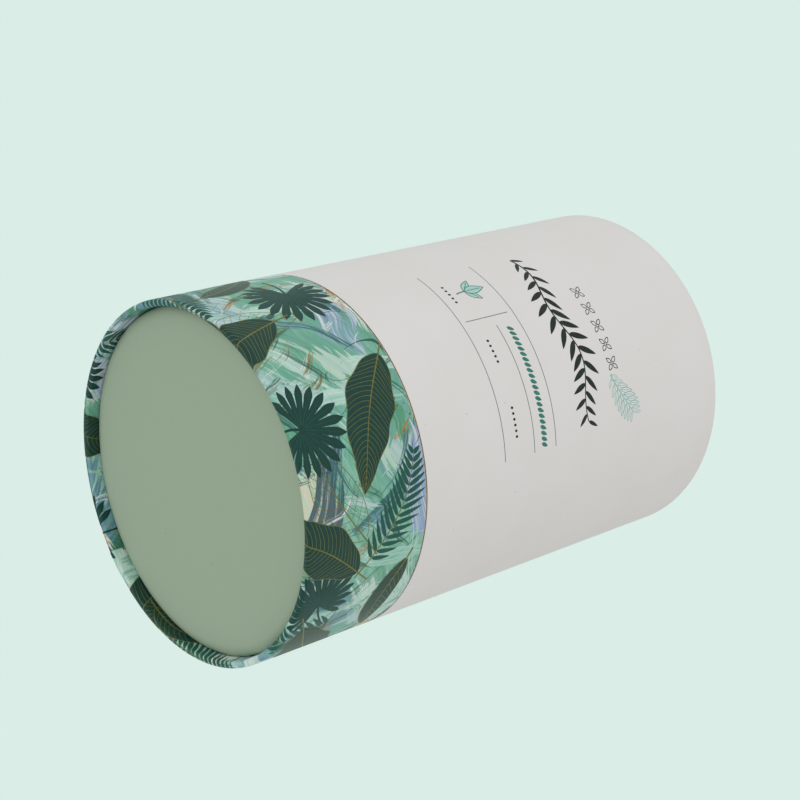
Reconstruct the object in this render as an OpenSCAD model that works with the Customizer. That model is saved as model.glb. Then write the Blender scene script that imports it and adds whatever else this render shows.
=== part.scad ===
// Cylindrical gift tube box: a short printed base with a tall neck, and a long lid that slides off it.
// Each end is a board disc set back inside a thin rounded lip.
// Millimetres, +Z up, with the origin at the centre of the ring that the base stands on.

/* [Tube] */
// Outside diameter of the closed box, over its printed paper
tube_d = 104; // [80:1:140]
// Height of the closed box
tube_h = 166; // [145:1:240]
// Height of the printed base, from the standing ring up to the seam
base_h = 41.4; // [30:0.2:60]
// Open seam between the base and the mouth of the lid
seam_gap = 0.4; // [0.3:0.1:0.8]
// Board left bare at the seam, above the edge of the base's paper
bare_edge = 0.4; // [0:0.1:1.5]
// Wall of the board in the base and lid tubes
board_t = 1.6; // [1.2:0.1:2.4]
// Rounding of the board at each lip
lip_r = 0.6; // [0.2:0.05:1]

/* [Paper] */
// Thickness of the printed paper, the covers and the linings
paper_t = 0.2; // [0.12:0.01:0.3]
// Film of glue between two glued layers
glue_t = 0.05; // [0.05:0.01:0.1]
// Depth that the printed paper is turned into the end of a tube
turn_in = 14; // [9:0.5:22]

/* [End discs] */
// Depth of a disc's face below the lip
recess_d = 3.1; // [2:0.1:6]
// Thickness of the disc's board
disc_t = 2; // [1.6:0.1:3]
// Width of the soft round that the disc's face has at its edge
disc_edge_w = 3.4; // [0.8:0.1:6]
// Height of that round
disc_edge_h = 1.4; // [0.4:0.1:1.5]
// Gap between the covered disc and the paper around it
disc_gap = 0.2; // [0.1:0.05:0.6]
// Width of the cover's flap, glued down on the back of the disc
flap_w = 12; // [6:0.5:20]

/* [Neck] */
// Height that the neck stands above the seam
neck_rise = 76; // [40:1:95]
// Wall of the neck's board tube
neck_t = 1.6; // [1.2:0.1:2.4]
// Radial running clearance between the covered neck and the lined lid
lid_gap = 0.3; // [0.2:0.05:0.6]
// Depth that the neck's paper is turned into its mouth
neck_turn = 10; // [5:0.5:20]

/* [Floor and ceiling] */
// Thickness of the loose-cut boards that close the inside
inner_board_t = 1; // [0.6:0.1:2]
// Gap round the floor and the ceiling
inner_gap = 0.3; // [0.2:0.05:0.8]
// Distance from the mouth of the lid to the start of its lining
lining_back = 0.6; // [0.3:0.1:3]

/* [Hidden] */
$fn = 96;
// Steps in each quarter-round of an outline
arc_steps = 6;
// One layer of paper with its glue
skin = paper_t + glue_t;

// Radii of the base and lid tubes, from the outside in
tube_r = tube_d / 2;
board_r = tube_r - skin;
bore_r = board_r - board_t;
lining_r = bore_r - skin;

// Radii of the neck, from the outside in
neck_wrap_r = lining_r - lid_gap;
neck_r = neck_wrap_r - skin;
neck_bore_r = neck_r - neck_t;
neck_lining_r = neck_bore_r - skin;

// Heights above a lip: the disc's cover, its board, the flap on its back and the boards behind it
cover_r = lining_r - disc_gap;
disc_r = cover_r - skin;
disc_z = recess_d + skin;
flap_z = disc_z + disc_t + glue_t;
inner_z = flap_z + skin;
inner_paper_z = inner_z + inner_board_t + glue_t;

neck_top = base_h + neck_rise;
neck_len = neck_top - inner_z;
lid_h = tube_h - base_h - seam_gap;

// Colours, red, green and blue from 0 to 1
leaf_print = [0.50, 0.64, 0.57];
white_print = [0.85, 0.84, 0.83];
sage_paper = [0.56, 0.635, 0.55];
board_grey = [0.66, 0.58, 0.47];
lining_paper = [0.88, 0.87, 0.84];

// Points of an arc, angles in degrees anticlockwise from +R
function arc(centre, r, from, to) = [
    for (i = [0 : arc_steps])
        let (a = from + (to - from) * i / arc_steps)
        centre + r * [cos(a), sin(a)]
];

// Points of a quarter-round at the edge of a disc, grow outside its board
function disc_edge(grow, from, to) = [
    for (i = [0 : arc_steps])
        let (a = from + (to - from) * i / arc_steps)
        [
            disc_r - disc_edge_w + (disc_edge_w + grow) * cos(a),
            disc_z + disc_edge_h + (disc_edge_h + grow) * sin(a)
        ]
];

// The round of a lip can't be more than half of its wall
function lip_round(wall) = min(lip_r, 0.45 * wall);

// Outline round a lip at Z = 0, from the outside of a tube to its bore, grow outside the board
function lip_outline(r, wall, grow) = let (f = lip_round(wall)) concat(
    arc([r - f, skin + f], f + grow, 0, -90),
    arc([r - wall + f, skin + f], f + grow, -90, -180)
);

function backwards(points) = [for (i = [len(points) - 1 : -1 : 0]) points[i]];

// Board tube of outer radius r, with a rounded lip one skin above Z = 0 and a square cut at height h
module board_tube(r, wall, h) {
    rotate_extrude()
        polygon(concat([[r - wall, h], [r, h]], lip_outline(r, wall, 0)));
}

// Paper glued round the outside of that tube, over its lip and back up its bore as far as turn
module turned_paper(r, wall, h, turn) {
    rotate_extrude()
        polygon(concat(
            [[r + glue_t, h], [r + skin, h]],
            lip_outline(r, wall, skin),
            [[r - wall - skin, turn], [r - wall - glue_t, turn]],
            backwards(lip_outline(r, wall, glue_t))
        ));
}

// Paper tube of inner radius r between two heights
module lining(r, z0, z1) {
    translate([0, 0, z0])
        difference() {
            cylinder(r = r + paper_t, h = z1 - z0);
            translate([0, 0, -1])
                cylinder(r = r, h = z1 - z0 + 2);
        }
}

// Board of an end disc, its softly rounded edge towards the lip
module disc_board() {
    rotate_extrude()
        polygon(concat(
            [[0, disc_z + disc_t], [0, disc_z]],
            disc_edge(0, -90, 0),
            [[disc_r, disc_z + disc_t]]
        ));
}

// Paper over the face of an end disc, round its edge and down on its back
module disc_cover() {
    rotate_extrude()
        polygon(concat(
            [[0, recess_d + paper_t], [0, recess_d]],
            disc_edge(skin, -90, 0),
            [
                [cover_r, flap_z + paper_t],
                [cover_r - flap_w, flap_z + paper_t],
                [cover_r - flap_w, flap_z],
                [disc_r + glue_t, flap_z]
            ],
            disc_edge(glue_t, 0, -90)
        ));
}

// Board that closes the inside behind an end disc
module inner_board(r) {
    translate([0, 0, inner_z])
        cylinder(r = r, h = inner_board_t);
}

// Paper on that board
module inner_paper(r) {
    translate([0, 0, inner_paper_z])
        cylinder(r = r, h = paper_t);
}

// Turns a part over, so that its lip faces up at height z
module lip_up(z) {
    translate([0, 0, z])
        mirror([0, 0, 1])
            children();
}

module base_tube() {
    color(board_grey)
        board_tube(board_r, board_t, base_h);
}

module base_wrap() {
    color(leaf_print)
        turned_paper(board_r, board_t, base_h - bare_edge, turn_in);
}

module base_disc() {
    color(board_grey)
        disc_board();
}

module base_disc_cover() {
    color(sage_paper)
        disc_cover();
}

module neck_tube() {
    color(board_grey)
        lip_up(neck_top)
            board_tube(neck_r, neck_t, neck_len);
}

module neck_wrap() {
    color(sage_paper)
        lip_up(neck_top)
            turned_paper(neck_r, neck_t, neck_len, neck_turn);
}

module neck_lining() {
    color(lining_paper)
        lining(neck_lining_r, inner_z, neck_top - neck_turn - glue_t);
}

module floor_board() {
    color(board_grey)
        inner_board(neck_lining_r - inner_gap);
}

module floor_paper() {
    color(lining_paper)
        inner_paper(neck_lining_r - inner_gap);
}

module lid_tube() {
    color(board_grey)
        lip_up(tube_h)
            board_tube(board_r, board_t, lid_h);
}

module lid_wrap() {
    color(white_print)
        lip_up(tube_h)
            turned_paper(board_r, board_t, lid_h, turn_in);
}

module lid_lining() {
    color(lining_paper)
        lining(lining_r, tube_h - lid_h + lining_back, tube_h - turn_in - glue_t);
}

module lid_disc() {
    color(board_grey)
        lip_up(tube_h)
            disc_board();
}

module lid_disc_cover() {
    color(sage_paper)
        lip_up(tube_h)
            disc_cover();
}

module ceiling_board() {
    color(board_grey)
        lip_up(tube_h)
            inner_board(lining_r - inner_gap);
}

module ceiling_paper() {
    color(lining_paper)
        lip_up(tube_h)
            inner_paper(lining_r - inner_gap);
}

base_tube();
base_wrap();
base_disc();
base_disc_cover();
neck_tube();
neck_wrap();
neck_lining();
floor_board();
floor_paper();
lid_tube();
lid_wrap();
lid_lining();
lid_disc();
lid_disc_cover();
ceiling_board();
ceiling_paper();
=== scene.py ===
import math

import bmesh
import bpy
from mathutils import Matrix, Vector


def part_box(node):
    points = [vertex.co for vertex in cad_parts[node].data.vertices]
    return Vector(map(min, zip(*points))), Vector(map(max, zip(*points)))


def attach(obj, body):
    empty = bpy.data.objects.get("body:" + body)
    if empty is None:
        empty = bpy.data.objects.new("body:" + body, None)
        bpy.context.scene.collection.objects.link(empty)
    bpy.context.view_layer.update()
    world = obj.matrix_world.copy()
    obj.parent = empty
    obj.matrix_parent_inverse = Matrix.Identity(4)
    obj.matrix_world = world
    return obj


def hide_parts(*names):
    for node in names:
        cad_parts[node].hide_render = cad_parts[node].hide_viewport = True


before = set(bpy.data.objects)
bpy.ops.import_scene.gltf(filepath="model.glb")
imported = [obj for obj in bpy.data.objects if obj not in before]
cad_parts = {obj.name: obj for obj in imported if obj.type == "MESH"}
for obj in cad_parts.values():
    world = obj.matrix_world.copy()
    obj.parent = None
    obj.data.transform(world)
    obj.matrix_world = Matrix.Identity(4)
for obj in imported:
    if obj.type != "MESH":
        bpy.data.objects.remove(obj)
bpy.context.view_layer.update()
scene = bpy.context.scene
mm = 0.001


# sizes that every piece below takes from the frame

def radiusOf(node):
    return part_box(node)[1].x


def heightsOf(node):
    low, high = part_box(node)
    return low.z, high.z


paper = {
    "thick": 0.2 * mm,
    "turnIn": 14 * mm,
    "lipRound": 0.85 * mm,
    "mouthDrop": 0.25 * mm,  # the lid's paper reaches a little past its board
    "segments": 360,
    "weld": 0.002 * mm,
}
# where a sheet's ends meet: their overlap, how far the upper end stands out and the stretch over which
# it rises, and the width of its free edge
lap = {"wide": 9 * mm, "rise": 0.14 * mm, "ramp": 2.5 * mm, "edge": 0.12 * mm}
# distances between a section's points
spacing = {"wall": 3 * mm, "bore": 2 * mm, "face": 4 * mm, "lining": 4 * mm, "side": mm, "flap": 3 * mm}
tiny = 1e-7  # points nearer than this, in metres, are one
crease = 40  # degrees, past which an edge is drawn sharp
tube = {
    "radius": radiusOf("base_wrap"),
    "bore": radiusOf("lid_lining") - paper["thick"],  # inside the lining and the turned paper
    "seam": heightsOf("base_wrap")[1],
    "mouth": heightsOf("lid_wrap")[0],
    "top": heightsOf("lid_wrap")[1],
}
neck = {
    "radius": radiusOf("neck_wrap"),
    "bore": radiusOf("neck_lining") - paper["thick"],
    "top": heightsOf("neck_wrap")[1],
    "foot": heightsOf("neck_wrap")[0],
    "turnIn": 10 * mm,
}


# small helpers for node trees and meshes

def put(tree, kind, values=None, **settings):
    # a new node with its inputs set or linked
    node = tree.nodes.new(kind)
    for key, value in settings.items():
        setattr(node, key, value)
    for key, value in (values or {}).items():
        if isinstance(value, bpy.types.NodeSocket):
            tree.links.new(value, node.inputs[key])
        else:
            node.inputs[key].default_value = value
    return node


def given(tree, kind, output=0):
    # a node that has no inputs
    return tree.nodes.new(kind).outputs[output]


def maths(tree, operation, a, b=0.0):
    return put(tree, "ShaderNodeMath", {0: a, 1: b}, operation=operation).outputs[0]


def times(tree, a, b):
    return maths(tree, "MULTIPLY", a, b)


def over(tree, a, b):
    return maths(tree, "DIVIDE", a, b)


def plus(tree, a, b):
    return maths(tree, "ADD", a, b)


def minus(tree, a, b):
    return maths(tree, "SUBTRACT", a, b)


def vectors(tree, operation, a, b=(0, 0, 0), **extra):
    node = put(tree, "ShaderNodeVectorMath", {0: a, 1: b, **extra}, operation=operation)
    return node.outputs["Value" if operation in ("LENGTH", "DOT_PRODUCT") else "Vector"]


def named(tree, name, kind="FLOAT"):
    return put(tree, "GeometryNodeInputNamedAttribute", {"Name": name}, data_type=kind).outputs[0]


def joined(tree, x=0.0, y=0.0, z=0.0):
    return put(tree, "ShaderNodeCombineXYZ", {"X": x, "Y": y, "Z": z}).outputs[0]


def parts(tree, value):
    return put(tree, "ShaderNodeSeparateXYZ", {0: value}).outputs


def roundAxis(tree, radius, turn, height):
    # the place at that turn round the tube's axis
    across = times(tree, radius, maths(tree, "COSINE", turn))
    return joined(tree, across, times(tree, radius, maths(tree, "SINE", turn)), height)


def between(tree, value, low, high):
    return put(tree, "ShaderNodeMapRange", {
        "Value": value, "From Min": low, "From Max": high}, interpolation_type="SMOOTHSTEP").outputs[0]


def srgb(red, green, blue):
    def linear(level):
        level /= 255
        return level / 12.92 if level <= 0.04045 else ((level + 0.055) / 1.055) ** 2.4
    return (linear(red), linear(green), linear(blue), 1)


def link(name, mesh):
    thing = bpy.data.objects.new(name, mesh)
    scene.collection.objects.link(thing)
    return thing


def drop(thing):
    mesh = thing.data
    bpy.data.objects.remove(thing)
    if mesh is not None and mesh.users == 0:
        bpy.data.meshes.remove(mesh)


def settled(thing):
    # the evaluated mesh as a plain one, in place of the object and its modifiers
    graph = bpy.context.evaluated_depsgraph_get()
    mesh = bpy.data.meshes.new_from_object(
        thing.evaluated_get(graph), preserve_all_data_layers=True, depsgraph=graph)
    name = thing.name
    drop(thing)
    mesh.name = name
    return link(name, mesh)


def geometryTree(name, inputs):
    tree = bpy.data.node_groups.new(name, "GeometryNodeTree")
    for label, kind in inputs:
        tree.interface.new_socket(name=label, in_out="INPUT", socket_type="NodeSocket" + kind)
    tree.interface.new_socket(name="Geometry", in_out="OUTPUT", socket_type="NodeSocketGeometry")
    return tree, tree.nodes.new("NodeGroupInput").outputs, tree.nodes.new("NodeGroupOutput").inputs


def grown(thing, tree, values):
    modifier = thing.modifiers.new(tree.name, "NODES")
    modifier.node_group = tree
    for item in tree.interface.items_tree:
        if item.in_out == "INPUT" and item.name in values:
            modifier[item.identifier] = values[item.name]
    return settled(thing)


def finished(tree, output, geometry, coats):
    # ends a tree: the first finish on everything, each further one on its own faces
    real = put(tree, "GeometryNodeRealizeInstances", {0: geometry})
    painted = put(tree, "GeometryNodeSetMaterial", {0: real.outputs[0], "Material": coats[0]})
    for i, material in enumerate(coats[1:], 1):
        own = put(tree, "FunctionNodeCompare", {2: named(tree, "ink", "INT"), 3: i},
                  data_type="INT", operation="EQUAL").outputs[0]
        painted = put(tree, "GeometryNodeSetMaterial", {
            0: painted.outputs[0], "Selection": own, "Material": material})
    tree.links.new(painted.outputs[0], output[0])


def shaded(thing):
    for face in thing.data.polygons:
        face.use_smooth = True
    thing.data.set_sharp_from_angle(angle=math.radians(crease))
    return thing


def ready(thing, body, slot, *replaced):
    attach(thing, body)
    if replaced:
        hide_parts(*replaced)
    return thing


# the turned sheet: a section of points (radius, height) spun round the tube's axis

def lapRise(tree, along, around):
    # the end of a sheet lies over its start, so it stands a little proud for the last stretch
    start = minus(tree, around, lap["wide"])
    share = over(tree, minus(tree, along, start), lap["ramp"])
    return times(tree, between(tree, share, 0.0, 1.0), lap["rise"])


def turnTree():
    tree, inputs, output = geometryTree("turnSection", [
        ("Geometry", "Geometry"), ("Segments", "Int"), ("Around", "Float"), ("Lapped", "Float"),
        ("Material", "Material")])
    around, segments = inputs["Around"], inputs["Segments"]
    rows = put(tree, "GeometryNodeAttributeDomainSize", {0: inputs["Geometry"]}).outputs["Point Count"]
    columns = plus(tree, segments, 1.0)
    grid = put(tree, "GeometryNodeMeshGrid", {"Vertices X": columns, "Vertices Y": rows})
    index = given(tree, "GeometryNodeInputIndex")
    column = maths(tree, "FLOOR", over(tree, plus(tree, index, 0.5), rows))
    row = minus(tree, index, times(tree, column, rows))

    def sampled(value, kind):
        return put(tree, "GeometryNodeSampleIndex", {
            "Geometry": inputs["Geometry"], "Value": value, "Index": row}, data_type=kind).outputs[0]

    def onPoints(value):
        return put(tree, "GeometryNodeFieldOnDomain", {0: value},
                   data_type="FLOAT", domain="POINT").outputs[0]

    # even columns, with a narrow last one for the free edge of the lap
    last = maths(tree, "GREATER_THAN", column, minus(tree, segments, 0.5))
    share = over(tree, column, minus(tree, segments, 1.0))
    even = times(tree, minus(tree, around, lap["edge"]), share)
    travel = maths(tree, "MINIMUM", even, around)
    proud = times(tree, lapRise(tree, travel, around), times(tree, inputs["Lapped"], minus(tree, 1.0, last)))
    start = sampled(given(tree, "GeometryNodeInputPosition"), "FLOAT_VECTOR")
    wayOut = sampled(named(tree, "out", "FLOAT_VECTOR"), "FLOAT_VECTOR")
    section = parts(tree, vectors(tree, "ADD", start, vectors(tree, "SCALE", wayOut, Scale=proud)))
    along = onPoints(sampled(named(tree, "along"), "FLOAT"))
    turn = times(tree, over(tree, travel, around), math.tau)
    turn = plus(tree, turn, math.pi / 2)  # starts at the back
    place = roundAxis(tree, section["X"], turn, section["Z"])
    moved = put(tree, "GeometryNodeSetPosition", {"Geometry": grid.outputs["Mesh"], "Position": place})
    chart = joined(tree, onPoints(travel), along)
    stored = put(tree, "GeometryNodeStoreNamedAttribute", {
        "Geometry": moved.outputs[0], "Name": "UVMap", "Value": chart},
        data_type="FLOAT2", domain="CORNER")
    merged = put(tree, "GeometryNodeMergeByDistance", {
        "Geometry": stored.outputs[0], "Distance": paper["weld"]})
    finished(tree, output, merged.outputs[0], [inputs["Material"]])
    return tree


turnSection = turnTree()


def sectionMesh(name, path):
    # a wire of (radius, height) points, each with its way out and its distance along the sheet
    mesh = bpy.data.meshes.new(name)
    mesh.from_pydata([(r, 0, z) for (r, z), out in path], [(i, i + 1) for i in range(len(path) - 1)], [])
    along = mesh.attributes.new("along", "FLOAT", "POINT")
    ways = mesh.attributes.new("out", "FLOAT_VECTOR", "POINT")
    length = 0
    for i, (point, out) in enumerate(path):
        if i:
            length += math.dist(point, path[i - 1][0])
        along.data[i].value = length
        ways.data[i].vector = (out[0], 0, out[1])
    return mesh


def line(start, end, normal, step):
    # evenly spaced points, each with the same way out
    count = max(1, round(math.dist(start, end) / step))
    return [((start[0] + (end[0] - start[0]) * i / count,
              start[1] + (end[1] - start[1]) * i / count), normal) for i in range(count + 1)]


def bend(centre, wide, high, fromAngle, toAngle, count=8):
    # a stretch of an ellipse, wide and high from its centre
    found = []
    for i in range(count + 1):
        a = math.radians(fromAngle + (toAngle - fromAngle) * i / count)
        normal = Vector((math.cos(a) / wide, math.sin(a) / high)).normalized()
        found.append(((centre[0] + wide * math.cos(a), centre[1] + high * math.sin(a)), tuple(normal)))
    return found


def thickened(path, thick):
    # the skin's points, then those of its hidden side, back to the start
    front = []
    for point, normal in path:
        if not front or math.dist(point, front[-1][0]) > tiny or normal != front[-1][1]:
            front.append((point, normal))
    hidden = [((max(0, p[0] - n[0] * thick), p[1] - n[1] * thick), n) for p, n in reversed(front)]
    return front + hidden + front[:1]


def turnedPath(outer, bore, cut, lip, turn, lipRound):
    # up a wall from its cut edge, over the lip and back down the bore
    way = 1 if lip > cut else -1
    shoulder = lip - way * lipRound
    path = line((outer, cut), (outer, shoulder), (1, 0), spacing["wall"])
    path += bend((outer - lipRound, shoulder), lipRound, lipRound, 0, 90 * way)
    path += bend((bore + lipRound, shoulder), lipRound, lipRound, 90 * way, 180 * way)
    path += line((bore, shoulder), (bore, lip - way * turn), (-1, 0), spacing["bore"])
    return path


def turned(name, path, material, lapped=False):
    wire = link(name, sectionMesh(name, thickened(path, paper["thick"])))
    outer = max(point[0] for point, normal in path)
    thing = grown(wire, turnSection, {
        "Segments": paper["segments"], "Around": math.tau * outer, "Lapped": float(lapped),
        "Material": material})
    mesh = thing.data
    # the ring's outermost face tells which way round the sheet came
    test = max(mesh.polygons, key=lambda face: Vector(face.center[:2]).length)
    if Vector(test.normal[:2]).dot(Vector(test.center[:2])) < 0:
        mesh.flip_normals()
    return shaded(thing)


# materials

def surface(name, roughness, specular):
    material = bpy.data.materials.new(name)
    material.use_nodes = True
    tree = material.node_tree
    shader = tree.nodes["Principled BSDF"]
    shader.inputs["Roughness"].default_value = roughness
    shader.inputs["Specular IOR Level"].default_value = specular
    return material, tree, shader


def coordinates(tree, kind="Object"):
    # in millimetres
    return vectors(tree, "SCALE", given(tree, "ShaderNodeTexCoord", kind), Scale=1 / mm)


def noise(tree, where, scale, detail=3.0, roughness=0.55, out=0):
    # output 0 is one value, 1 is a colour of three
    return put(tree, "ShaderNodeTexNoise", {
        "Vector": where, "Scale": scale, "Detail": detail, "Roughness": roughness}).outputs[out]


def ramp(tree, factor, stops):
    node = put(tree, "ShaderNodeValToRGB", {0: factor})
    bar = node.color_ramp
    while len(bar.elements) < len(stops):
        bar.elements.new(1.0)
    for element, (place, colour) in zip(bar.elements, stops):
        element.position = place
        element.color = colour
    return node.outputs[0]


def blend(tree, factor, a, b):
    # the node's sockets for colours are inputs 6 and 7 and output 2
    return put(tree, "ShaderNodeMix", {0: factor, 6: a, 7: b}, data_type="RGBA").outputs[2]


def coated(tree, shader, colour, height, depth, strength):
    # its colour, and a fine relief of that depth
    tree.links.new(colour, shader.inputs["Base Color"])
    bump = put(tree, "ShaderNodeBump", {"Height": height, "Distance": depth, "Strength": strength})
    tree.links.new(bump.outputs[0], shader.inputs["Normal"])


def flecks(tree, where, apart, share, size):
    # small spots of up to a size, one in each of a share of the cells
    cells = put(tree, "ShaderNodeTexVoronoi", {"Vector": where, "Scale": 1 / apart})
    pick = put(tree, "ShaderNodeSeparateColor", {0: cells.outputs["Color"]}).outputs
    reach = times(tree, pick[1], size / apart)
    near = maths(tree, "LESS_THAN", cells.outputs["Distance"], reach)
    return times(tree, near, maths(tree, "LESS_THAN", pick[0], share))


def whitePaper():
    look = {"plain": srgb(215, 214, 212), "warm": srgb(214, 212, 209), "fleck": srgb(168, 160, 152)}
    material, tree, shader = surface("white printed paper", 0.6, 0.2)
    where = coordinates(tree)
    cloud = between(tree, noise(tree, where, 0.05, 3.0), 0.3, 0.7)
    colour = blend(tree, cloud, look["plain"], look["warm"])
    spots = flecks(tree, where, 4.5, 0.5, 0.35)
    colour = blend(tree, times(tree, spots, 0.35), colour, look["fleck"])
    coated(tree, shader, colour, noise(tree, where, 3.0, 5.0, 0.65), 0.012 * mm, 0.6)
    return material


def sagePaper():
    look = {"plain": srgb(150, 169, 146), "deep": srgb(146, 165, 142), "fleck": srgb(116, 132, 112)}
    material, tree, shader = surface("sage paper", 0.72, 0.3)
    where = coordinates(tree)
    grain = between(tree, noise(tree, where, 1.6, 5.0, 0.7), 0.3, 0.7)
    colour = blend(tree, grain, look["deep"], look["plain"])
    spots = flecks(tree, where, 5.0, 0.4, 0.3)
    colour = blend(tree, times(tree, spots, 0.6), colour, look["fleck"])
    coated(tree, shader, colour, noise(tree, where, 4.0, 5.0, 0.7), 0.02 * mm, 0.7)
    return material


def liningPaper():
    look = {"plain": srgb(232, 229, 221), "warm": srgb(224, 219, 208)}
    material, tree, shader = surface("lining paper", 0.75, 0.3)
    where = coordinates(tree)
    colour = blend(tree, between(tree, noise(tree, where, 0.4, 5.0), 0.3, 0.7), look["plain"], look["warm"])
    coated(tree, shader, colour, noise(tree, where, 2.5, 5.0, 0.7), 0.02 * mm, 0.6)
    return material


def greyBoard():
    look = {"pale": srgb(186, 160, 124), "dark": srgb(142, 116, 84), "fibre": srgb(206, 184, 150)}
    material, tree, shader = surface("raw board", 0.9, 0.2)
    where = coordinates(tree)
    # the board is wound in plies, which show as rings where it is cut
    radius = vectors(tree, "LENGTH", vectors(tree, "MULTIPLY", where, (1, 1, 0)))
    plies = maths(tree, "SINE", times(tree, radius, 14.0))
    rough = noise(tree, where, 2.2, 5.0, 0.7)
    tone = plus(tree, times(tree, plies, 0.18), rough)
    colour = ramp(tree, tone, [(0.25, look["dark"]), (0.55, look["pale"]), (0.85, look["fibre"])])
    coated(tree, shader, colour, tone, 0.05 * mm, 0.8)
    return material


def paintedPaper():
    # knife and brush work: a soft ground, then layers of strokes that each run one wandering way
    paint = {
        "ground": [(0.3, srgb(68, 132, 108)), (0.42, srgb(90, 152, 124)), (0.52, srgb(106, 166, 144)),
                   (0.62, srgb(128, 182, 160)), (0.76, srgb(158, 202, 184))],
        "pale": [(0.0, srgb(96, 156, 134)), (0.3, srgb(126, 180, 160)), (0.5, srgb(158, 200, 186)),
                 (0.68, srgb(206, 222, 214)), (0.82, srgb(160, 188, 196)), (1.0, srgb(182, 206, 184))],
        "deep": [(0.0, srgb(28, 74, 66)), (0.25, srgb(52, 114, 90)), (0.5, srgb(82, 150, 112)),
                 (0.7, srgb(104, 164, 150)), (0.88, srgb(104, 144, 164)), (1.0, srgb(54, 102, 104))],
        "warm": [(0.0, srgb(216, 226, 218)), (0.34, srgb(140, 190, 170)), (0.56, srgb(220, 202, 180)),
                 (0.68, srgb(186, 210, 184)), (0.88, srgb(130, 152, 194)), (1.0, srgb(216, 224, 216))],
        "quick": [(0.0, srgb(28, 62, 54)), (0.3, srgb(58, 104, 74)), (0.5, srgb(226, 236, 232)),
                  (0.72, srgb(98, 106, 56)), (0.88, srgb(184, 132, 52)), (1.0, srgb(44, 70, 60))],
        "night": [(0.0, srgb(36, 56, 92)), (0.5, srgb(42, 66, 104)), (0.74, srgb(40, 84, 88)),
                  (0.9, srgb(48, 92, 96)), (0.96, srgb(184, 132, 52)), (1.0, srgb(184, 132, 52))],
    }
    # shades, way in degrees, stroke length and width in mm, share covered, streak width, and the reach
    # and size of its wandering
    layers = [
        ("pale", 38, 46, 20, 0.54, 1.8, 40, 56),
        ("deep", -48, 36, 15, 0.48, 1.4, 32, 42),
        ("warm", 12, 32, 12, 0.3, 1.1, 26, 34),
        ("pale", 76, 20, 5.5, 0.26, 0.8, 22, 30),
        ("night", -20, 26, 14, 0.12, 2.6, 14, 28),
        ("quick", -62, 8, 1.8, 0.08, 0.6, 14, 22),
        ("deep", 30, 16, 2.6, 0.14, 0.5, 20, 28),
    ]
    # seed, ink, size and half width of the thin drawn lines
    drawnLines = [
        (11, srgb(30, 62, 52), 26, 0.002),
        (12, srgb(206, 222, 214), 28, 0.0012),
        (13, srgb(150, 138, 76), 34, 0.0012),
    ]
    spatter = srgb(92, 84, 44)
    material, tree, shader = surface("painted paper", 0.42, 0.25)
    where = coordinates(tree, "UV")

    def wandering(seed, reach, size):
        # the sheet's own coordinates pushed about, so that straight streaks come out curved
        shifted = vectors(tree, "ADD", where, (seed * 131.7, seed * 77.3, 0))
        push = vectors(tree, "SUBTRACT", noise(tree, shifted, 1 / size, 1.0, out=1), (0.5, 0.5, 0.5))
        return vectors(tree, "ADD", shifted, vectors(tree, "SCALE", push, Scale=reach))

    flow = wandering(0, 60, 60)
    lane = vectors(tree, "MULTIPLY", flow, (1 / 34, 1 / 0.9, 0))
    streaks = times(tree, minus(tree, noise(tree, lane, 1.0, 3.0), 0.5), 0.45)
    tone = plus(tree, noise(tree, flow, 1 / 30, 2.0), streaks)
    colour = ramp(tree, tone, paint["ground"])
    for seed, (shades, way, length, width, share, streak, reach, size) in enumerate(layers, 1):
        laid = put(tree, "ShaderNodeVectorRotate", {
            "Vector": wandering(seed, reach, size), "Angle": math.radians(way)},
            rotation_type="Z_AXIS").outputs[0]
        fine = noise(tree, vectors(tree, "MULTIPLY", laid, (0.8 / length, 1 / streak, 0)), 1.0, 4.0, 0.6)
        pull = times(tree, minus(tree, fine, 0.5), length * 0.9)
        ragged = vectors(tree, "ADD", laid, joined(tree, pull))
        cell = put(tree, "ShaderNodeTexVoronoi", {
            "Vector": vectors(tree, "MULTIPLY", ragged, (1 / length, 1 / width, 0)), "Scale": 1.0},
            voronoi_dimensions="2D")
        pick = put(tree, "ShaderNodeSeparateColor", {0: cell.outputs["Color"]}).outputs
        tone = plus(tree, pick[1], times(tree, minus(tree, fine, 0.5), 0.6))
        dry = plus(tree, times(tree, fine, 0.9), minus(tree, share, pick[2]))
        cover = times(tree, between(tree, dry, 0.42, 0.56), 0.92)
        colour = blend(tree, cover, colour, ramp(tree, tone, paint[shades]))
    # thin drawn lines that come and go
    for seed, ink, size, half in drawnLines:
        flow = wandering(seed, 24, 30)
        edge = maths(tree, "ABSOLUTE", minus(tree, noise(tree, flow, 1 / size, 1.0), 0.5))
        drawn = minus(tree, 1.0, between(tree, edge, half, half * 2))
        drawn = times(tree, drawn, between(tree, noise(tree, flow, 0.06, 1.0), 0.57, 0.63))
        colour = blend(tree, times(tree, drawn, 0.85), colour, ink)
    # clusters of small spatters
    spots = flecks(tree, where, 1.1, 0.5, 0.4)
    cluster = between(tree, noise(tree, where, 0.05, 2.0), 0.56, 0.64)
    spots = times(tree, times(tree, spots, cluster), 0.8)
    colour = blend(tree, spots, colour, spatter)
    coated(tree, shader, colour, noise(tree, where, 2.0, 4.0, 0.6), 0.01 * mm, 0.6)
    return material


def printInk(name, shade, other, roughness=0.42):
    material, tree, shader = surface(name, roughness, 0.22)
    where = coordinates(tree)
    mottle = between(tree, noise(tree, where, 0.5, 5.0, 0.65), 0.3, 0.7)
    colour = blend(tree, mottle, shade, other)
    coated(tree, shader, colour, noise(tree, where, 4.0, 4.0, 0.6), 0.006 * mm, 0.5)
    return material


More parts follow.
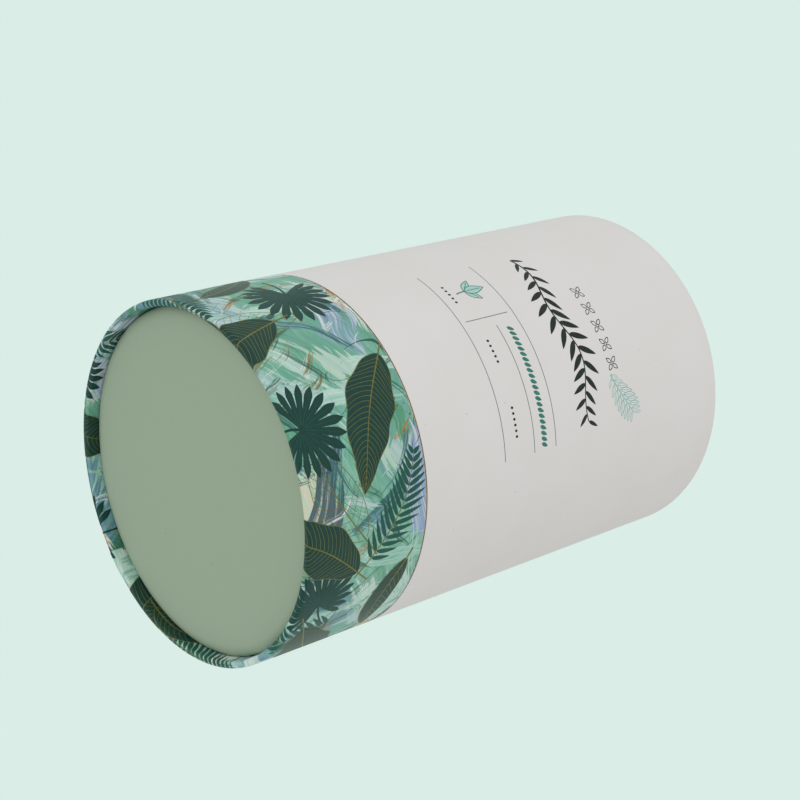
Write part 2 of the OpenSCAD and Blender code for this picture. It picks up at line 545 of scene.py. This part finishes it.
finishes = {
    "white": whitePaper(),
    "sage": sagePaper(),
    "lining": liningPaper(),
    "board": greyBoard(),
    "painted": paintedPaper(),
    "leafInk": printInk("leaf green ink", srgb(16, 58, 51), srgb(22, 62, 54)),
    "fernInk": printInk("fern green ink", srgb(26, 76, 64), srgb(32, 84, 70)),
    "goldInk": printInk("ochre gold ink", srgb(104, 101, 43), srgb(118, 114, 50), 0.38),
    "ruleInk": printInk("grey green ink", srgb(104, 116, 112), srgb(114, 126, 121)),
    "darkInk": printInk("dark green grey ink", srgb(24, 31, 30), srgb(32, 39, 38)),
    "tealInk": printInk("teal ink", srgb(46, 112, 100), srgb(56, 122, 110)),
    "paleInk": printInk("pale teal ink", srgb(158, 198, 190), srgb(170, 204, 197)),
    "lineInk": printInk("light teal ink", srgb(112, 170, 162), srgb(124, 180, 171)),
}
print("finishes made:", len(finishes))


# papers of the base, the lid and the neck

basePath = turnedPath(tube["radius"], tube["bore"], tube["seam"], 0, paper["turnIn"], paper["lipRound"])
lidPath = turnedPath(tube["radius"], tube["bore"], tube["mouth"] - paper["mouthDrop"], tube["top"],
                     paper["turnIn"], paper["lipRound"])
neckPath = turnedPath(neck["radius"], neck["bore"], neck["foot"], neck["top"], neck["turnIn"],
                      paper["lipRound"])
for name, path, finish, body, slot, node in (
        ("base_print_paper", basePath, "painted", "base", "leaf_print", "base_wrap"),
        ("lid_print_paper", lidPath, "white", "lid", "white_print", "lid_wrap"),
        ("neck_paper", neckPath, "sage", "base", "sage_paper", "neck_wrap")):
    ready(turned(name, path, finishes[finish], lapped=True), body, slot, node)

for name, node, bore, body in (("neck_lining_paper", "neck_lining", neck["bore"], "base"),
                               ("lid_lining_paper", "lid_lining", tube["bore"], "lid")):
    low, high = heightsOf(node)
    path = line((bore, low), (bore, high), (-1, 0), spacing["lining"])
    ready(turned(name, path, finishes["lining"]), body, "lining_paper", node)

cover = {"edgeWide": 3.65 * mm, "edgeHigh": 1.65 * mm, "edgeSteps": 12, "flap": 12 * mm}


def coverPath(node, way):
    # over the face of an end disc, round its edge and in along its back
    low, high = heightsOf(node)
    face, back = (low, high) if way < 0 else (high, low)
    radius = radiusOf(node)
    turn, side = radius - cover["edgeWide"], face - way * cover["edgeHigh"]
    path = line((0, face), (turn, face), (0, way), spacing["face"])
    path += bend((turn, side), cover["edgeWide"], cover["edgeHigh"], 90 * way, 0, cover["edgeSteps"])
    path += line((radius, side), (radius, back), (1, 0), spacing["side"])[:-1]
    path += [((radius, back), (1, -way))]
    path += line((radius, back), (radius - cover["flap"], back), (0, -way), spacing["flap"])[1:]
    return path


for node, name, body, way in (("base_disc_cover", "base_disc_paper", "base", -1),
                              ("lid_disc_cover", "lid_disc_paper", "lid", 1)):
    ready(turned(name, coverPath(node, way), finishes["sage"]), body, "sage_paper", node)

for node, name, body, way in (("floor_paper", "floor_sheet", "base", 1),
                              ("ceiling_paper", "ceiling_sheet", "lid", -1)):
    low, high = heightsOf(node)
    face = high if way > 0 else low
    path = line((0, face), (radiusOf(node), face), (0, way), spacing["face"])
    ready(turned(name, path, finishes["lining"]), body, "lining_paper", node)

for node in ("base_tube", "lid_tube", "neck_tube", "base_disc", "lid_disc", "floor_board", "ceiling_board"):
    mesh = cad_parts[node].data
    mesh.materials.clear()
    mesh.materials.append(finishes["board"])
print("papers turned")


# artwork of the base's paper: motifs drawn flat in millimetres, laid out on the sheet, cut where the
# sheet ends, and then carried round the tube with it

leafInk, goldInk, fernInk = 0, 1, 2
overprint = 0.008  # mm that a later ink stands over an earlier one
weld = 0.0002  # points of a motif nearer than this, in mm, are one


def band(form, points, half, ink=0, across=1, lift=0.0):
    # faces along a line of points, half(share) wide to either side
    layer = form.faces.layers.int.get("ink")
    last = len(points) - 1
    rows = []
    for i, point in enumerate(points):
        ahead = points[min(i + 1, last)] - points[max(i - 1, 0)]
        side = Vector((-ahead.y, ahead.x)).normalized() * half(i / last)
        rows.append([form.verts.new((*(point + side * (2 * j / across - 1)), lift))
                     for j in range(across + 1)])
    for a, b in zip(rows, rows[1:]):
        for j in range(across):
            face = form.faces.new((a[j], b[j], b[j + 1], a[j + 1]))
            face[layer] = ink


def motif(name, draw, shape):
    form = bmesh.new()
    form.faces.layers.int.new("ink")
    draw(form, shape)
    bmesh.ops.remove_doubles(form, verts=form.verts, dist=weld)
    bmesh.ops.dissolve_degenerate(form, edges=form.edges, dist=weld / 2)
    bmesh.ops.scale(form, verts=form.verts, vec=(mm, mm, mm))
    mesh = bpy.data.meshes.new(name)
    form.to_mesh(mesh)
    form.free()
    return link(name, mesh)


def steps(count, start=0.0, end=1.0):
    return [start + (end - start) * i / count for i in range(count + 1)]


def gilt(form, points, half):
    band(form, points, half, goldInk, 1, overprint)


def blade(form, shape):
    # a lance-shaped leaf with a wavy edge, its veins and outline in gold
    length, width, sweep = shape["length"], shape["width"], shape["sweep"]

    def spine(s):
        return Vector((length * (s - 0.5), sweep * math.sin(math.pi * s)))

    def half(s):
        wave = 1 + shape["wave"] * math.sin(shape["waves"] * math.tau * s)
        return width / 2 * wave * math.sin(math.pi * s ** 0.8) ** 0.85 if 0 < s < 1 else 0.0

    def place(s, t):
        ahead = spine(s + 0.01) - spine(s - 0.01)
        return spine(s) + Vector((-ahead.y, ahead.x)).normalized() * half(s) * t

    if shape["filled"]:
        band(form, [spine(s) for s in steps(round(length))], half, leafInk, 2 * round(width / 4))
    for side in (-1, 1):
        gilt(form, [place(s, side) for s in steps(round(length * 1.3), 0.01, 0.995)],
             lambda s: shape["edge"])
        for i in range(1, shape["veins"] + 1):
            foot = i / (shape["veins"] + 2)
            lean = 0.13 + 0.008 * math.sin(i * 2.3 + side)
            gilt(form, [place(foot + lean * t ** 1.4, side * t) for t in steps(8, 0.0, 0.97)
                        if foot + lean * t ** 1.4 < 0.99],
                 lambda s: shape["vein"] * (1 - 0.4 * s))
    gilt(form, [spine(s) for s in steps(round(length), -shape["stalk"], 0.97)], lambda s: 0.24 - 0.15 * s)


def fan(form, shape):
    # a fan palm leaf: one sheet of pointed lobes, each with a rib, and its stalk
    layer = form.faces.layers.int.get("ink")
    spread = math.radians(shape["spread"])
    fine, rings = 10, 7  # faces across a lobe, and out from the foot

    def reach(angle, phase):
        whole = shape["radius"] * (0.82 + 0.18 * math.cos(angle * 0.8))
        return whole * (1 - shape["cut"] * phase ** 12 - shape["point"] * phase ** 1.1)

    grid = []
    for i in range(shape["lobes"] * fine + 1):
        angle = spread * (i / (shape["lobes"] * fine) - 0.5)
        out = Vector((math.cos(angle), math.sin(angle))) * reach(angle, abs(2 * ((i / fine) % 1) - 1))
        grid.append([form.verts.new((out.x * j / rings, out.y * j / rings, 0)) for j in range(rings + 1)])
    for a, b in zip(grid, grid[1:]):
        for j in range(rings):
            form.faces.new((a[j], a[j + 1], b[j + 1], b[j]))[layer] = leafInk
    for i in range(shape["lobes"]):
        angle = spread * ((i + 0.5) / shape["lobes"] - 0.5)
        rib = Vector((math.cos(angle), math.sin(angle))) * reach(angle, 0)
        band(form, [rib * s for s in steps(6, 0.1, 0.86)], lambda s: 0.09 - 0.05 * s, fernInk, 1, overprint)
    band(form, [Vector((-shape["stalk"] * s, shape["stalk"] * 0.25 * s * s)) for s in steps(12)],
         lambda s: 0.42 - 0.15 * s, leafInk)


def fern(form, shape):
    length = shape["length"]

    def spine(s):
        return Vector((length * (s - 0.5), shape["sweep"] * math.sin(math.pi * s * 0.9)))

    for i in range(shape["pairs"]):
        s = 0.08 + 0.88 * i / (shape["pairs"] - 1)
        reach = shape["reach"] * math.sin(math.pi * (0.24 + 0.68 * s))
        ahead = (spine(s + 0.01) - spine(s - 0.01)).normalized()
        for side in (-1, 1):
            aim = (ahead * (0.35 + 0.6 * s) + Vector((-ahead.y, ahead.x)) * side).normalized()
            leaflet = [spine(s) + aim * reach * t + ahead * reach * 0.2 * t * t for t in steps(9)]
            band(form, leaflet, lambda t: shape["leaflet"] * math.sin(math.pi * min(t, 0.999) ** 0.7) ** 0.8,
                 fernInk, 2)
    gilt(form, [spine(s) for s in steps(36, -0.12, 0.98)], lambda s: 0.26 - 0.18 * s)


motifs = [
    motif("motif_blade", blade, {"length": 46, "width": 17, "sweep": 3.5, "wave": 0.06, "waves": 3.5,
                                 "veins": 24, "edge": 0.1, "vein": 0.08, "stalk": 0.14, "filled": True}),
    motif("motif_fan", fan, {"radius": 16, "lobes": 17, "spread": 286, "cut": 0.3, "point": 0.26,
                             "stalk": 13}),
    motif("motif_fern", fern, {"length": 36, "sweep": 3, "pairs": 15, "reach": 8.5, "leaflet": 0.72}),
    motif("motif_line_blade", blade, {"length": 38, "width": 15, "sweep": -3, "wave": 0.0, "waves": 1,
                                      "veins": 11, "edge": 0.1, "vein": 0.08, "stalk": 0.2,
                                      "filled": False}),
    motif("motif_slim_blade", blade, {"length": 30, "width": 9, "sweep": 4, "wave": 0.03, "waves": 2,
                                      "veins": 12, "edge": 0.11, "vein": 0.08, "stalk": 0.1,
                                      "filled": True}),
]

layout = {
    "repeat": math.pi * tube["radius"],  # the print comes round twice
    "times": 4,  # with one repeat to spare at either end
    "margin": 0.15 * mm,  # kept clear of the sheet's ends
    "lift": 0.012 * mm,
    "level": 0.016 * mm,  # a motif of a later kind lies over one of an earlier kind
    "levels": (3, 2, 1, 0, 4),
    "thick": 0.03 * mm,
    # motif, place round and down the sheet in mm, turn in degrees, size
    "places": [
        (3, 24, 29, 155, 0.95), (3, 92, 12, 40, 1.0), (3, 140, 34, -100, 0.9),
        (2, 34, 12, -150, 0.95), (2, 74, 40, 70, 0.95), (2, 112, 38, 10, 0.95),
        (1, 7, 37, -75, 0.9), (1, 58, 34, 165, 0.85), (1, 126, 13, 20, 0.9), (1, 100, 54, 95, 0.8),
        (0, 10, 12, 28, 0.88), (0, 41, 40, 118, 0.85), (0, 84, 22, -38, 0.95), (0, 147, 44, 62, 0.9),
        (4, 66, 6, 5, 1.0), (4, 108, 22, -125, 1.0), (4, 24, 53, -20, 1.0), (4, 128, 50, 160, 0.9),
    ],
}


def layoutMesh():
    mesh = bpy.data.meshes.new("layout")
    mesh.from_pydata([(u * mm, v * mm, 0) for kind, u, v, turn, size in layout["places"]], [], [])
    values = {
        "kind": ("INT", [row[0] for row in layout["places"]]),
        "turn": ("FLOAT", [math.radians(row[3]) for row in layout["places"]]),
        "size": ("FLOAT", [row[4] for row in layout["places"]]),
        "lift": ("FLOAT", [layout["lift"] + layout["level"] * layout["levels"][row[0]]
                           for row in layout["places"]]),
    }
    for name, (kind, column) in values.items():
        layer = mesh.attributes.new(name, kind, "POINT")
        for entry, value in zip(layer.data, column):
            entry.value = value
    return mesh


def lifted(tree, geometry, lift):
    return put(tree, "GeometryNodeTranslateInstances", {
        0: geometry, "Translation": joined(tree, z=lift)}).outputs[0]


def scatterTree(things, inks):
    tree, inputs, output = geometryTree("scatterMotifs", [
        ("Geometry", "Geometry"), ("Repeat", "Float"), ("Times", "Int")])
    # the layout again and again along the sheet, starting one repeat before it
    places = put(tree, "GeometryNodeMeshLine", {
        "Count": inputs["Times"], "Offset": joined(tree, inputs["Repeat"]),
        "Start Location": joined(tree, times(tree, inputs["Repeat"], -1.0))}, mode="OFFSET")
    copies = put(tree, "GeometryNodeInstanceOnPoints", {
        "Points": places.outputs[0], "Instance": inputs["Geometry"]})
    points = put(tree, "GeometryNodeRealizeInstances", {0: copies.outputs[0]}).outputs[0]
    picks = put(tree, "GeometryNodeJoinGeometry")
    for thing in reversed(things):
        info = put(tree, "GeometryNodeObjectInfo", {"Object": thing, "As Instance": True})
        tree.links.new(info.outputs["Geometry"], picks.inputs[0])
    turn = put(tree, "FunctionNodeEulerToRotation", {0: joined(tree, z=named(tree, "turn"))}).outputs[0]
    placed = put(tree, "GeometryNodeInstanceOnPoints", {
        "Points": points, "Instance": picks.outputs[0], "Pick Instance": True,
        "Instance Index": named(tree, "kind", "INT"), "Rotation": turn,
        "Scale": joined(tree, named(tree, "size"), named(tree, "size"), 1.0)}).outputs[0]
    finished(tree, output, lifted(tree, placed, named(tree, "lift")), inks)
    return tree


def carryTree(inks):
    # flat artwork (round, along, lift) carried onto the sheet: along a guide of (radius, 0, height)
    tree, inputs, output = geometryTree("carryArtwork", [
        ("Geometry", "Geometry"), ("Guide", "Object"), ("Radius", "Float"), ("Side", "Float")])
    guide = put(tree, "GeometryNodeObjectInfo", {"Object": inputs["Guide"]}).outputs["Geometry"]
    curve = put(tree, "GeometryNodeMeshToCurve", {0: guide}).outputs[0]
    flat = parts(tree, given(tree, "GeometryNodeInputPosition"))
    sample = put(tree, "GeometryNodeSampleCurve", {
        "Curves": curve, "Length": flat["Y"]}, mode="LENGTH", use_all_curves=False)
    on, way = parts(tree, sample.outputs["Position"]), parts(tree, sample.outputs["Tangent"])
    around = times(tree, inputs["Radius"], math.tau)
    lift = times(tree, plus(tree, flat["Z"], lapRise(tree, flat["X"], around)), inputs["Side"])
    radius = plus(tree, on["X"], times(tree, way["Z"], lift))
    height = minus(tree, on["Z"], times(tree, way["X"], lift))
    turn = plus(tree, over(tree, flat["X"], inputs["Radius"]), math.pi / 2)
    place = roundAxis(tree, radius, turn, height)
    moved = put(tree, "GeometryNodeSetPosition", {"Geometry": inputs["Geometry"], "Position": place})
    finished(tree, output, moved.outputs[0], inks)
    return tree


def cut(form, at, normal, clear):
    everything = form.verts[:] + form.edges[:] + form.faces[:]
    bmesh.ops.bisect_plane(form, geom=everything, plane_co=at, plane_no=normal, clear_outer=clear,
                           dist=tiny)


def carried(flat, path, inks):
    # cut at the sheet's ends and at each turn of the lip, then carried round and given its thickness
    length, rows = 0, []
    for (start, wayOut), (end, nextWay) in zip(path, path[1:]):
        length += math.dist(start, end)
        if wayOut != nextWay:
            rows.append(length)
    margin = layout["margin"]
    around = math.tau * tube["radius"] - lap["edge"]
    form = bmesh.new()
    form.from_mesh(flat.data)
    cut(form, (0, margin, 0), (0, -1, 0), True)
    cut(form, (0, length - margin, 0), (0, 1, 0), True)
    cut(form, (0, 0, 0), (-1, 0, 0), True)
    cut(form, (around, 0, 0), (1, 0, 0), True)
    for row in rows:
        cut(form, (0, row, 0), (0, 1, 0), False)
    form.to_mesh(flat.data)
    form.free()
    guide = link("guide", sectionMesh("guide", path))
    rises = path[1][0][1] > path[0][0][1]
    thing = grown(flat, carryTree(inks), {
        "Guide": guide, "Radius": tube["radius"], "Side": 1.0 if rises else -1.0})
    drop(guide)
    if not rises:
        thing.data.flip_normals()
    solid = thing.modifiers.new("ink", "SOLIDIFY")
    solid.thickness = layout["thick"]
    solid.offset = -1
    return shaded(settled(thing))


leafInks = [finishes["leafInk"], finishes["goldInk"], finishes["fernInk"]]
artwork = grown(link("base_print_motifs", layoutMesh()), scatterTree(motifs, leafInks), {
    "Repeat": layout["repeat"], "Times": layout["times"]})
for thing in motifs:
    drop(thing)
ready(carried(artwork, basePath, leafInks), "base", "leaf_print")
print("leaf print laid")


# ornament on the lid's paper, placed in mm round from its front and up from the standing ring

panel = {
    "right": 31.3,  # where every rule ends
    "rules": ((-31.3, 71.5), (-7.4, 83.4), (-31.3, 92.2)),  # where each starts, and its height
    "divider": (-10.7, 73.5, 90.3),
    "ruleHalf": 0.13,
    "lift": 0.012,
}
sprig = {
    "foot": (-21.3, 81.4),
    "leaves": ((-44, 5.8), (44, 5.8), (0, 7.6)),  # tilt and length, the middle one last and on top
    "middleLift": 0.02,
    "half": 0.21,  # of a leaf's length
    "outline": 0.13,
    "rib": 0.11,
    "stalk": 3.4,
    "stalkBow": 0.4,
    "stalkHalf": 0.2,
}
garland = {"from": -30, "to": 27, "height": 107.8, "sway": 1.7, "swayRate": 0.2}
spray = {"from": (15.6, 118.8), "reach": 13, "rise": 7.6, "curve": 1.3}
dots = {"apart": 1.65, "length": 1.05, "half": 0.42}
garlandStem = [(x, garland["height"] + garland["sway"] * math.sin(x * garland["swayRate"]))
               for x in steps(60, garland["from"], garland["to"])]
sprayStem = [(spray["from"][0] + spray["reach"] * s, spray["from"][1] + spray["rise"] * s ** spray["curve"])
             for s in steps(16)]
front = math.pi * tube["radius"] / mm
lidStart = lidPath[0][0][1] / mm


def onLid(x, z):
    return Vector((front + x, z - lidStart))


def lens(form, shape):
    # one leaf, from its foot at the origin
    def half(t):
        return shape["half"] * math.sin(math.pi * min(t, 0.999) ** shape["taper"]) ** 0.8

    band(form, [Vector((shape["length"] * t, 0)) for t in steps(8)], half, shape["ink"], 2)


def alongTree(inks):
    # one motif again and again along a path, leaning off it, to either side in turn if asked
    tree, inputs, output = geometryTree("motifsAlong", [
        ("Geometry", "Geometry"), ("Motif", "Object"), ("Count", "Int"), ("Lean", "Float"),
        ("Both Sides", "Float"), ("End Size", "Float"), ("Lift", "Float")])
    curve = put(tree, "GeometryNodeMeshToCurve", {0: inputs["Geometry"]}).outputs[0]
    spaced = put(tree, "GeometryNodeResampleCurve", {"Curve": curve, "Count": inputs["Count"]}).outputs[0]
    way = parts(tree, given(tree, "GeometryNodeInputTangent"))
    index = given(tree, "GeometryNodeInputIndex")
    odd = times(tree, maths(tree, "MODULO", index, 2.0), inputs["Both Sides"])
    sign = minus(tree, 1.0, times(tree, odd, 2.0))
    lean = times(tree, inputs["Lean"], sign)
    turn = plus(tree, maths(tree, "ARCTAN2", way["Y"], way["X"]), lean)
    share = put(tree, "GeometryNodeSplineParameter").outputs["Factor"]
    swell = maths(tree, "SINE", times(tree, share, math.pi))
    size = put(tree, "ShaderNodeMapRange", {
        "Value": swell, "To Min": inputs["End Size"], "To Max": 1.0}).outputs[0]
    unit = put(tree, "GeometryNodeObjectInfo", {"Object": inputs["Motif"], "As Instance": True})
    placed = put(tree, "GeometryNodeInstanceOnPoints", {
        "Points": spaced, "Instance": unit.outputs["Geometry"],
        "Rotation": put(tree, "FunctionNodeEulerToRotation", {0: joined(tree, z=turn)}).outputs[0],
        "Scale": joined(tree, size, size, 1.0)}).outputs[0]
    finished(tree, output, lifted(tree, placed, inputs["Lift"]), inks)
    return tree


lidInks = [finishes["ruleInk"], finishes["darkInk"], finishes["tealInk"], finishes["paleInk"],
           finishes["lineInk"]]
ruleInk, darkInk, tealInk, paleInk, lineInk = 0, 1, 2, 3, 4
motifsAlong = alongTree(lidInks)


def along(name, points, draw, shape, count, lean, bothSides=False, endSize=1.0):
    # a row of count motifs on the lid's paper, the outermost at endSize of the middle one's size
    mesh = bpy.data.meshes.new(name)
    edges = [(i, i + 1) for i in range(len(points) - 1)]
    mesh.from_pydata([(p.x * mm, p.y * mm, 0) for p in points], edges, [])
    unit = motif(name + "_unit", draw, shape)
    thing = grown(link(name, mesh), motifsAlong, {
        "Motif": unit, "Count": count, "Lean": math.radians(lean), "Both Sides": float(bothSides),
        "End Size": endSize, "Lift": panel["lift"] * mm})
    drop(unit)
    ready(carried(thing, lidPath, lidInks), "lid", "white_print")


def drawSprig(form, shape):
    # three small leaves from one foot, and their stalk
    foot, lift = onLid(*shape["foot"]), panel["lift"]
    for tilt, length in shape["leaves"]:
        aim = Vector((math.sin(math.radians(tilt)), math.cos(math.radians(tilt))))
        side = Vector((aim.y, -aim.x))
        own = lift if tilt else lift + shape["middleLift"]

        def swell(t):
            return shape["half"] * length * math.sin(math.pi * min(t, 0.999) ** 0.8)

        band(form, [foot + aim * length * t for t in steps(12)], swell, paleInk, 4, own)
        for way in (-1, 1):
            band(form, [foot + aim * length * t + side * way * swell(t) for t in steps(16)],
                 lambda t: shape["outline"], tealInk, 1, own + overprint)
        band(form, [foot + aim * length * t for t in steps(12, 0, 0.8)],
             lambda t: shape["rib"], tealInk, 1, own + overprint)
    band(form, [foot + Vector((shape["stalkBow"] * t * t, -shape["stalk"] * t)) for t in steps(6)],
         lambda t: shape["stalkHalf"], tealInk, 1, lift + shape["middleLift"] + overprint)


def drawLines(form, shape):
    # the rules, the stems and the sprig
    def stroke(points, half, ink):
        band(form, [onLid(x, z) for x, z in points], half, ink, 1, panel["lift"])

    for start, z in panel["rules"]:
        stroke([(x, z) for x in steps(60, start, panel["right"])], lambda s: panel["ruleHalf"], ruleInk)
    x, low, high = panel["divider"]
    stroke([(x, z) for z in steps(8, low, high)], lambda s: panel["ruleHalf"], ruleInk)
    stroke(garlandStem, lambda s: 0.3 - 0.12 * s, darkInk)
    stroke(sprayStem, lambda s: 0.22 - 0.1 * s, lineInk)
    drawSprig(form, shape)


def rosette(form, shape):
    # petals round the origin, each drawn in outline, with a rib if asked
    for i in range(shape["petals"]):
        angle = math.tau * i / shape["petals"] + shape["turn"]
        aim = Vector((math.cos(angle), math.sin(angle)))
        side = Vector((-aim.y, aim.x))
        for way in (-1, 1):
            band(form, [aim * shape["length"] * (0.12 + 0.88 * t)
                        + side * way * shape["half"] * math.sin(math.pi * t ** 0.9) for t in steps(10)],
                 lambda t: shape["stroke"], shape["ink"])
        if shape["rib"]:
            band(form, [aim * shape["length"] * t for t in steps(8, 0, 0.8)],
                 lambda t: shape["stroke"] * 0.8, shape["ink"])


lines = motif("lid_print_lines", drawLines, sprig)
ready(carried(lines, lidPath, lidInks), "lid", "white_print")
along("lid_print_garland", [onLid(x, z) for x, z in garlandStem], lens,
      {"length": 7.4, "half": 1.0, "taper": 0.75, "ink": darkInk},
      count=27, lean=50, bothSides=True, endSize=0.6)
along("lid_print_rosettes", [onLid(-11.5, 120.7), onLid(12.5, 120.7)], rosette,
      {"petals": 4, "length": 2.6, "half": 0.6, "stroke": 0.13, "turn": math.pi / 4, "rib": False,
       "ink": darkInk}, count=5, lean=0)
along("lid_print_row", [onLid(-6, 86.4), onLid(29.2, 86.4)], lens,
      {"length": 2.7, "half": 0.62, "taper": 0.8, "ink": tealInk}, count=22, lean=62)
along("lid_print_spray", [onLid(x, z) for x, z in sprayStem], rosette,
      {"petals": 1, "length": 5.8, "half": 0.8, "stroke": 0.1, "turn": 0, "rib": True, "ink": lineInk},
      count=17, lean=50, bothSides=True, endSize=0.55)
for name, x, z, count in (("lid_print_dots_left", -24.6, 75.0, 5), ("lid_print_dots_middle", -3.4, 76.6, 5),
                          ("lid_print_dots_right", 16.8, 76.2, 6)):
    row = [onLid(x, z), onLid(x + dots["apart"] * (count - 1), z)]
    along(name, row, lens, {"length": dots["length"], "half": dots["half"], "taper": 1.0, "ink": darkInk},
          count, lean=90)
print("lid print laid")


# stage, light and camera

stage = {"floorRadius": 1.6, "fadeFrom": 0.35, "fadeTo": 1.4, "pale": srgb(218, 237, 231)}


def paleFloor():
    mesh = bpy.data.meshes.new("stage_floor")
    form = bmesh.new()
    bmesh.ops.create_circle(form, cap_ends=True, segments=96, radius=stage["floorRadius"])
    form.to_mesh(mesh)
    form.free()
    floor = link("stage_floor", mesh)
    material = bpy.data.materials.new("pale floor")
    material.use_nodes = True
    tree = material.node_tree
    tree.nodes.clear()
    diffuse = put(tree, "ShaderNodeBsdfDiffuse", {"Color": stage["pale"]})
    clear = put(tree, "ShaderNodeBsdfTransparent")
    # seen only by the camera, only from above, and fading into the background far out
    seen = given(tree, "ShaderNodeLightPath", "Is Camera Ray")
    above = minus(tree, 1.0, given(tree, "ShaderNodeNewGeometry", "Backfacing"))
    far = vectors(tree, "LENGTH", given(tree, "ShaderNodeTexCoord", "Object"))
    fade = put(tree, "ShaderNodeMapRange", {
        "Value": far, "From Min": stage["fadeFrom"], "From Max": stage["fadeTo"],
        "To Min": 1.0, "To Max": 0.0}).outputs[0]
    cover = times(tree, times(tree, seen, above), fade)
    mix = put(tree, "ShaderNodeMixShader", {0: cover, 1: clear.outputs[0], 2: diffuse.outputs[0]})
    out = put(tree, "ShaderNodeOutputMaterial")
    tree.links.new(mix.outputs[0], out.inputs[0])
    mesh.materials.append(material)


paleFloor()

view = {
    "side": 15.1,  # degrees round from the front, to the right
    "tilt": -40.12,  # degrees above the horizon, so from under the box
    "roll": 74.61,
    "lens": 80.49,
    "standOff": 490.8 * mm,  # to the centre of the standing ring, along the view
    "offRight": -58.3 * mm,
    "offUp": -23.64 * mm,
}


def aimed(side, tilt, roll):
    # the camera's right, up and backward ways
    a, e, r = (math.radians(x) for x in (side, tilt, roll))
    back = Vector((math.sin(a) * math.cos(e), -math.cos(a) * math.cos(e), math.sin(e)))
    level = Vector((math.cos(a), math.sin(a), 0))
    upright = back.cross(level)
    right = level * math.cos(r) + upright * math.sin(r)
    return right, back.cross(right), back


right, up, back = aimed(view["side"], view["tilt"], view["roll"])
light = {
    "fillLow": (0.69, 0.663, 0.635, 1),
    "fillHigh": (0.98, 0.98, 0.985, 1),
    "fillFrom": back * 0.8 + up * 0.4,  # the fill is stronger from here than from behind the box
    "key": 1.0,  # watts
    "keySize": 0.9,
    "keyPlace": back * 1.0 + up * 0.5 - right * 0.1,
}


def softStudio():
    world = bpy.data.worlds.new("soft studio")
    scene.world = world
    world.use_nodes = True
    tree = world.node_tree
    tree.nodes.clear()
    rays = tree.nodes.new("ShaderNodeLightPath").outputs
    shown = maths(tree, "MAXIMUM", rays["Is Camera Ray"],
                  maths(tree, "MAXIMUM", rays["Is Glossy Ray"], rays["Is Transmission Ray"]))
    backdrop = put(tree, "ShaderNodeBackground", {"Color": stage["pale"], "Strength": 1.0})
    way = given(tree, "ShaderNodeTexCoord", "Generated")
    share = between(tree, vectors(tree, "DOT_PRODUCT", way, light["fillFrom"].normalized()), -1.0, 1.0)
    colour = blend(tree, share, light["fillLow"], light["fillHigh"])
    fill = put(tree, "ShaderNodeBackground", {"Color": colour})
    mix = put(tree, "ShaderNodeMixShader", {0: shown, 1: fill.outputs[0], 2: backdrop.outputs[0]})
    tree.links.new(mix.outputs[0], put(tree, "ShaderNodeOutputWorld").inputs[0])


def addCamera():
    camera = bpy.data.objects.new("camera", bpy.data.cameras.new("camera"))
    scene.collection.objects.link(camera)
    camera.data.lens = view["lens"]
    camera.data.clip_start = 0.01
    camera.location = back * view["standOff"] - right * view["offRight"] - up * view["offUp"]
    camera.rotation_mode = "QUATERNION"
    camera.rotation_quaternion = back.to_track_quat("Z", "Y")
    turn = camera.rotation_quaternion.to_matrix().transposed() @ up
    camera.rotation_quaternion = camera.rotation_quaternion @ Vector((0, 1, 0)).rotation_difference(turn)
    scene.camera = camera


def addLamp(name, energy, size, place):
    lamp = bpy.data.lights.new(name, "AREA")
    lamp.shape = "DISK"
    lamp.size = size
    lamp.energy = energy
    thing = bpy.data.objects.new(name, lamp)
    scene.collection.objects.link(thing)
    thing.location = place
    thing.rotation_mode = "QUATERNION"
    aim = Vector((0, 0, tube["top"] / 2)) - place
    thing.rotation_quaternion = (-aim).to_track_quat("Z", "Y")


softStudio()
addCamera()
addLamp("key", light["key"], light["keySize"], light["keyPlace"])
scene.view_settings.view_transform = "Standard"
print("stage, light and camera set")
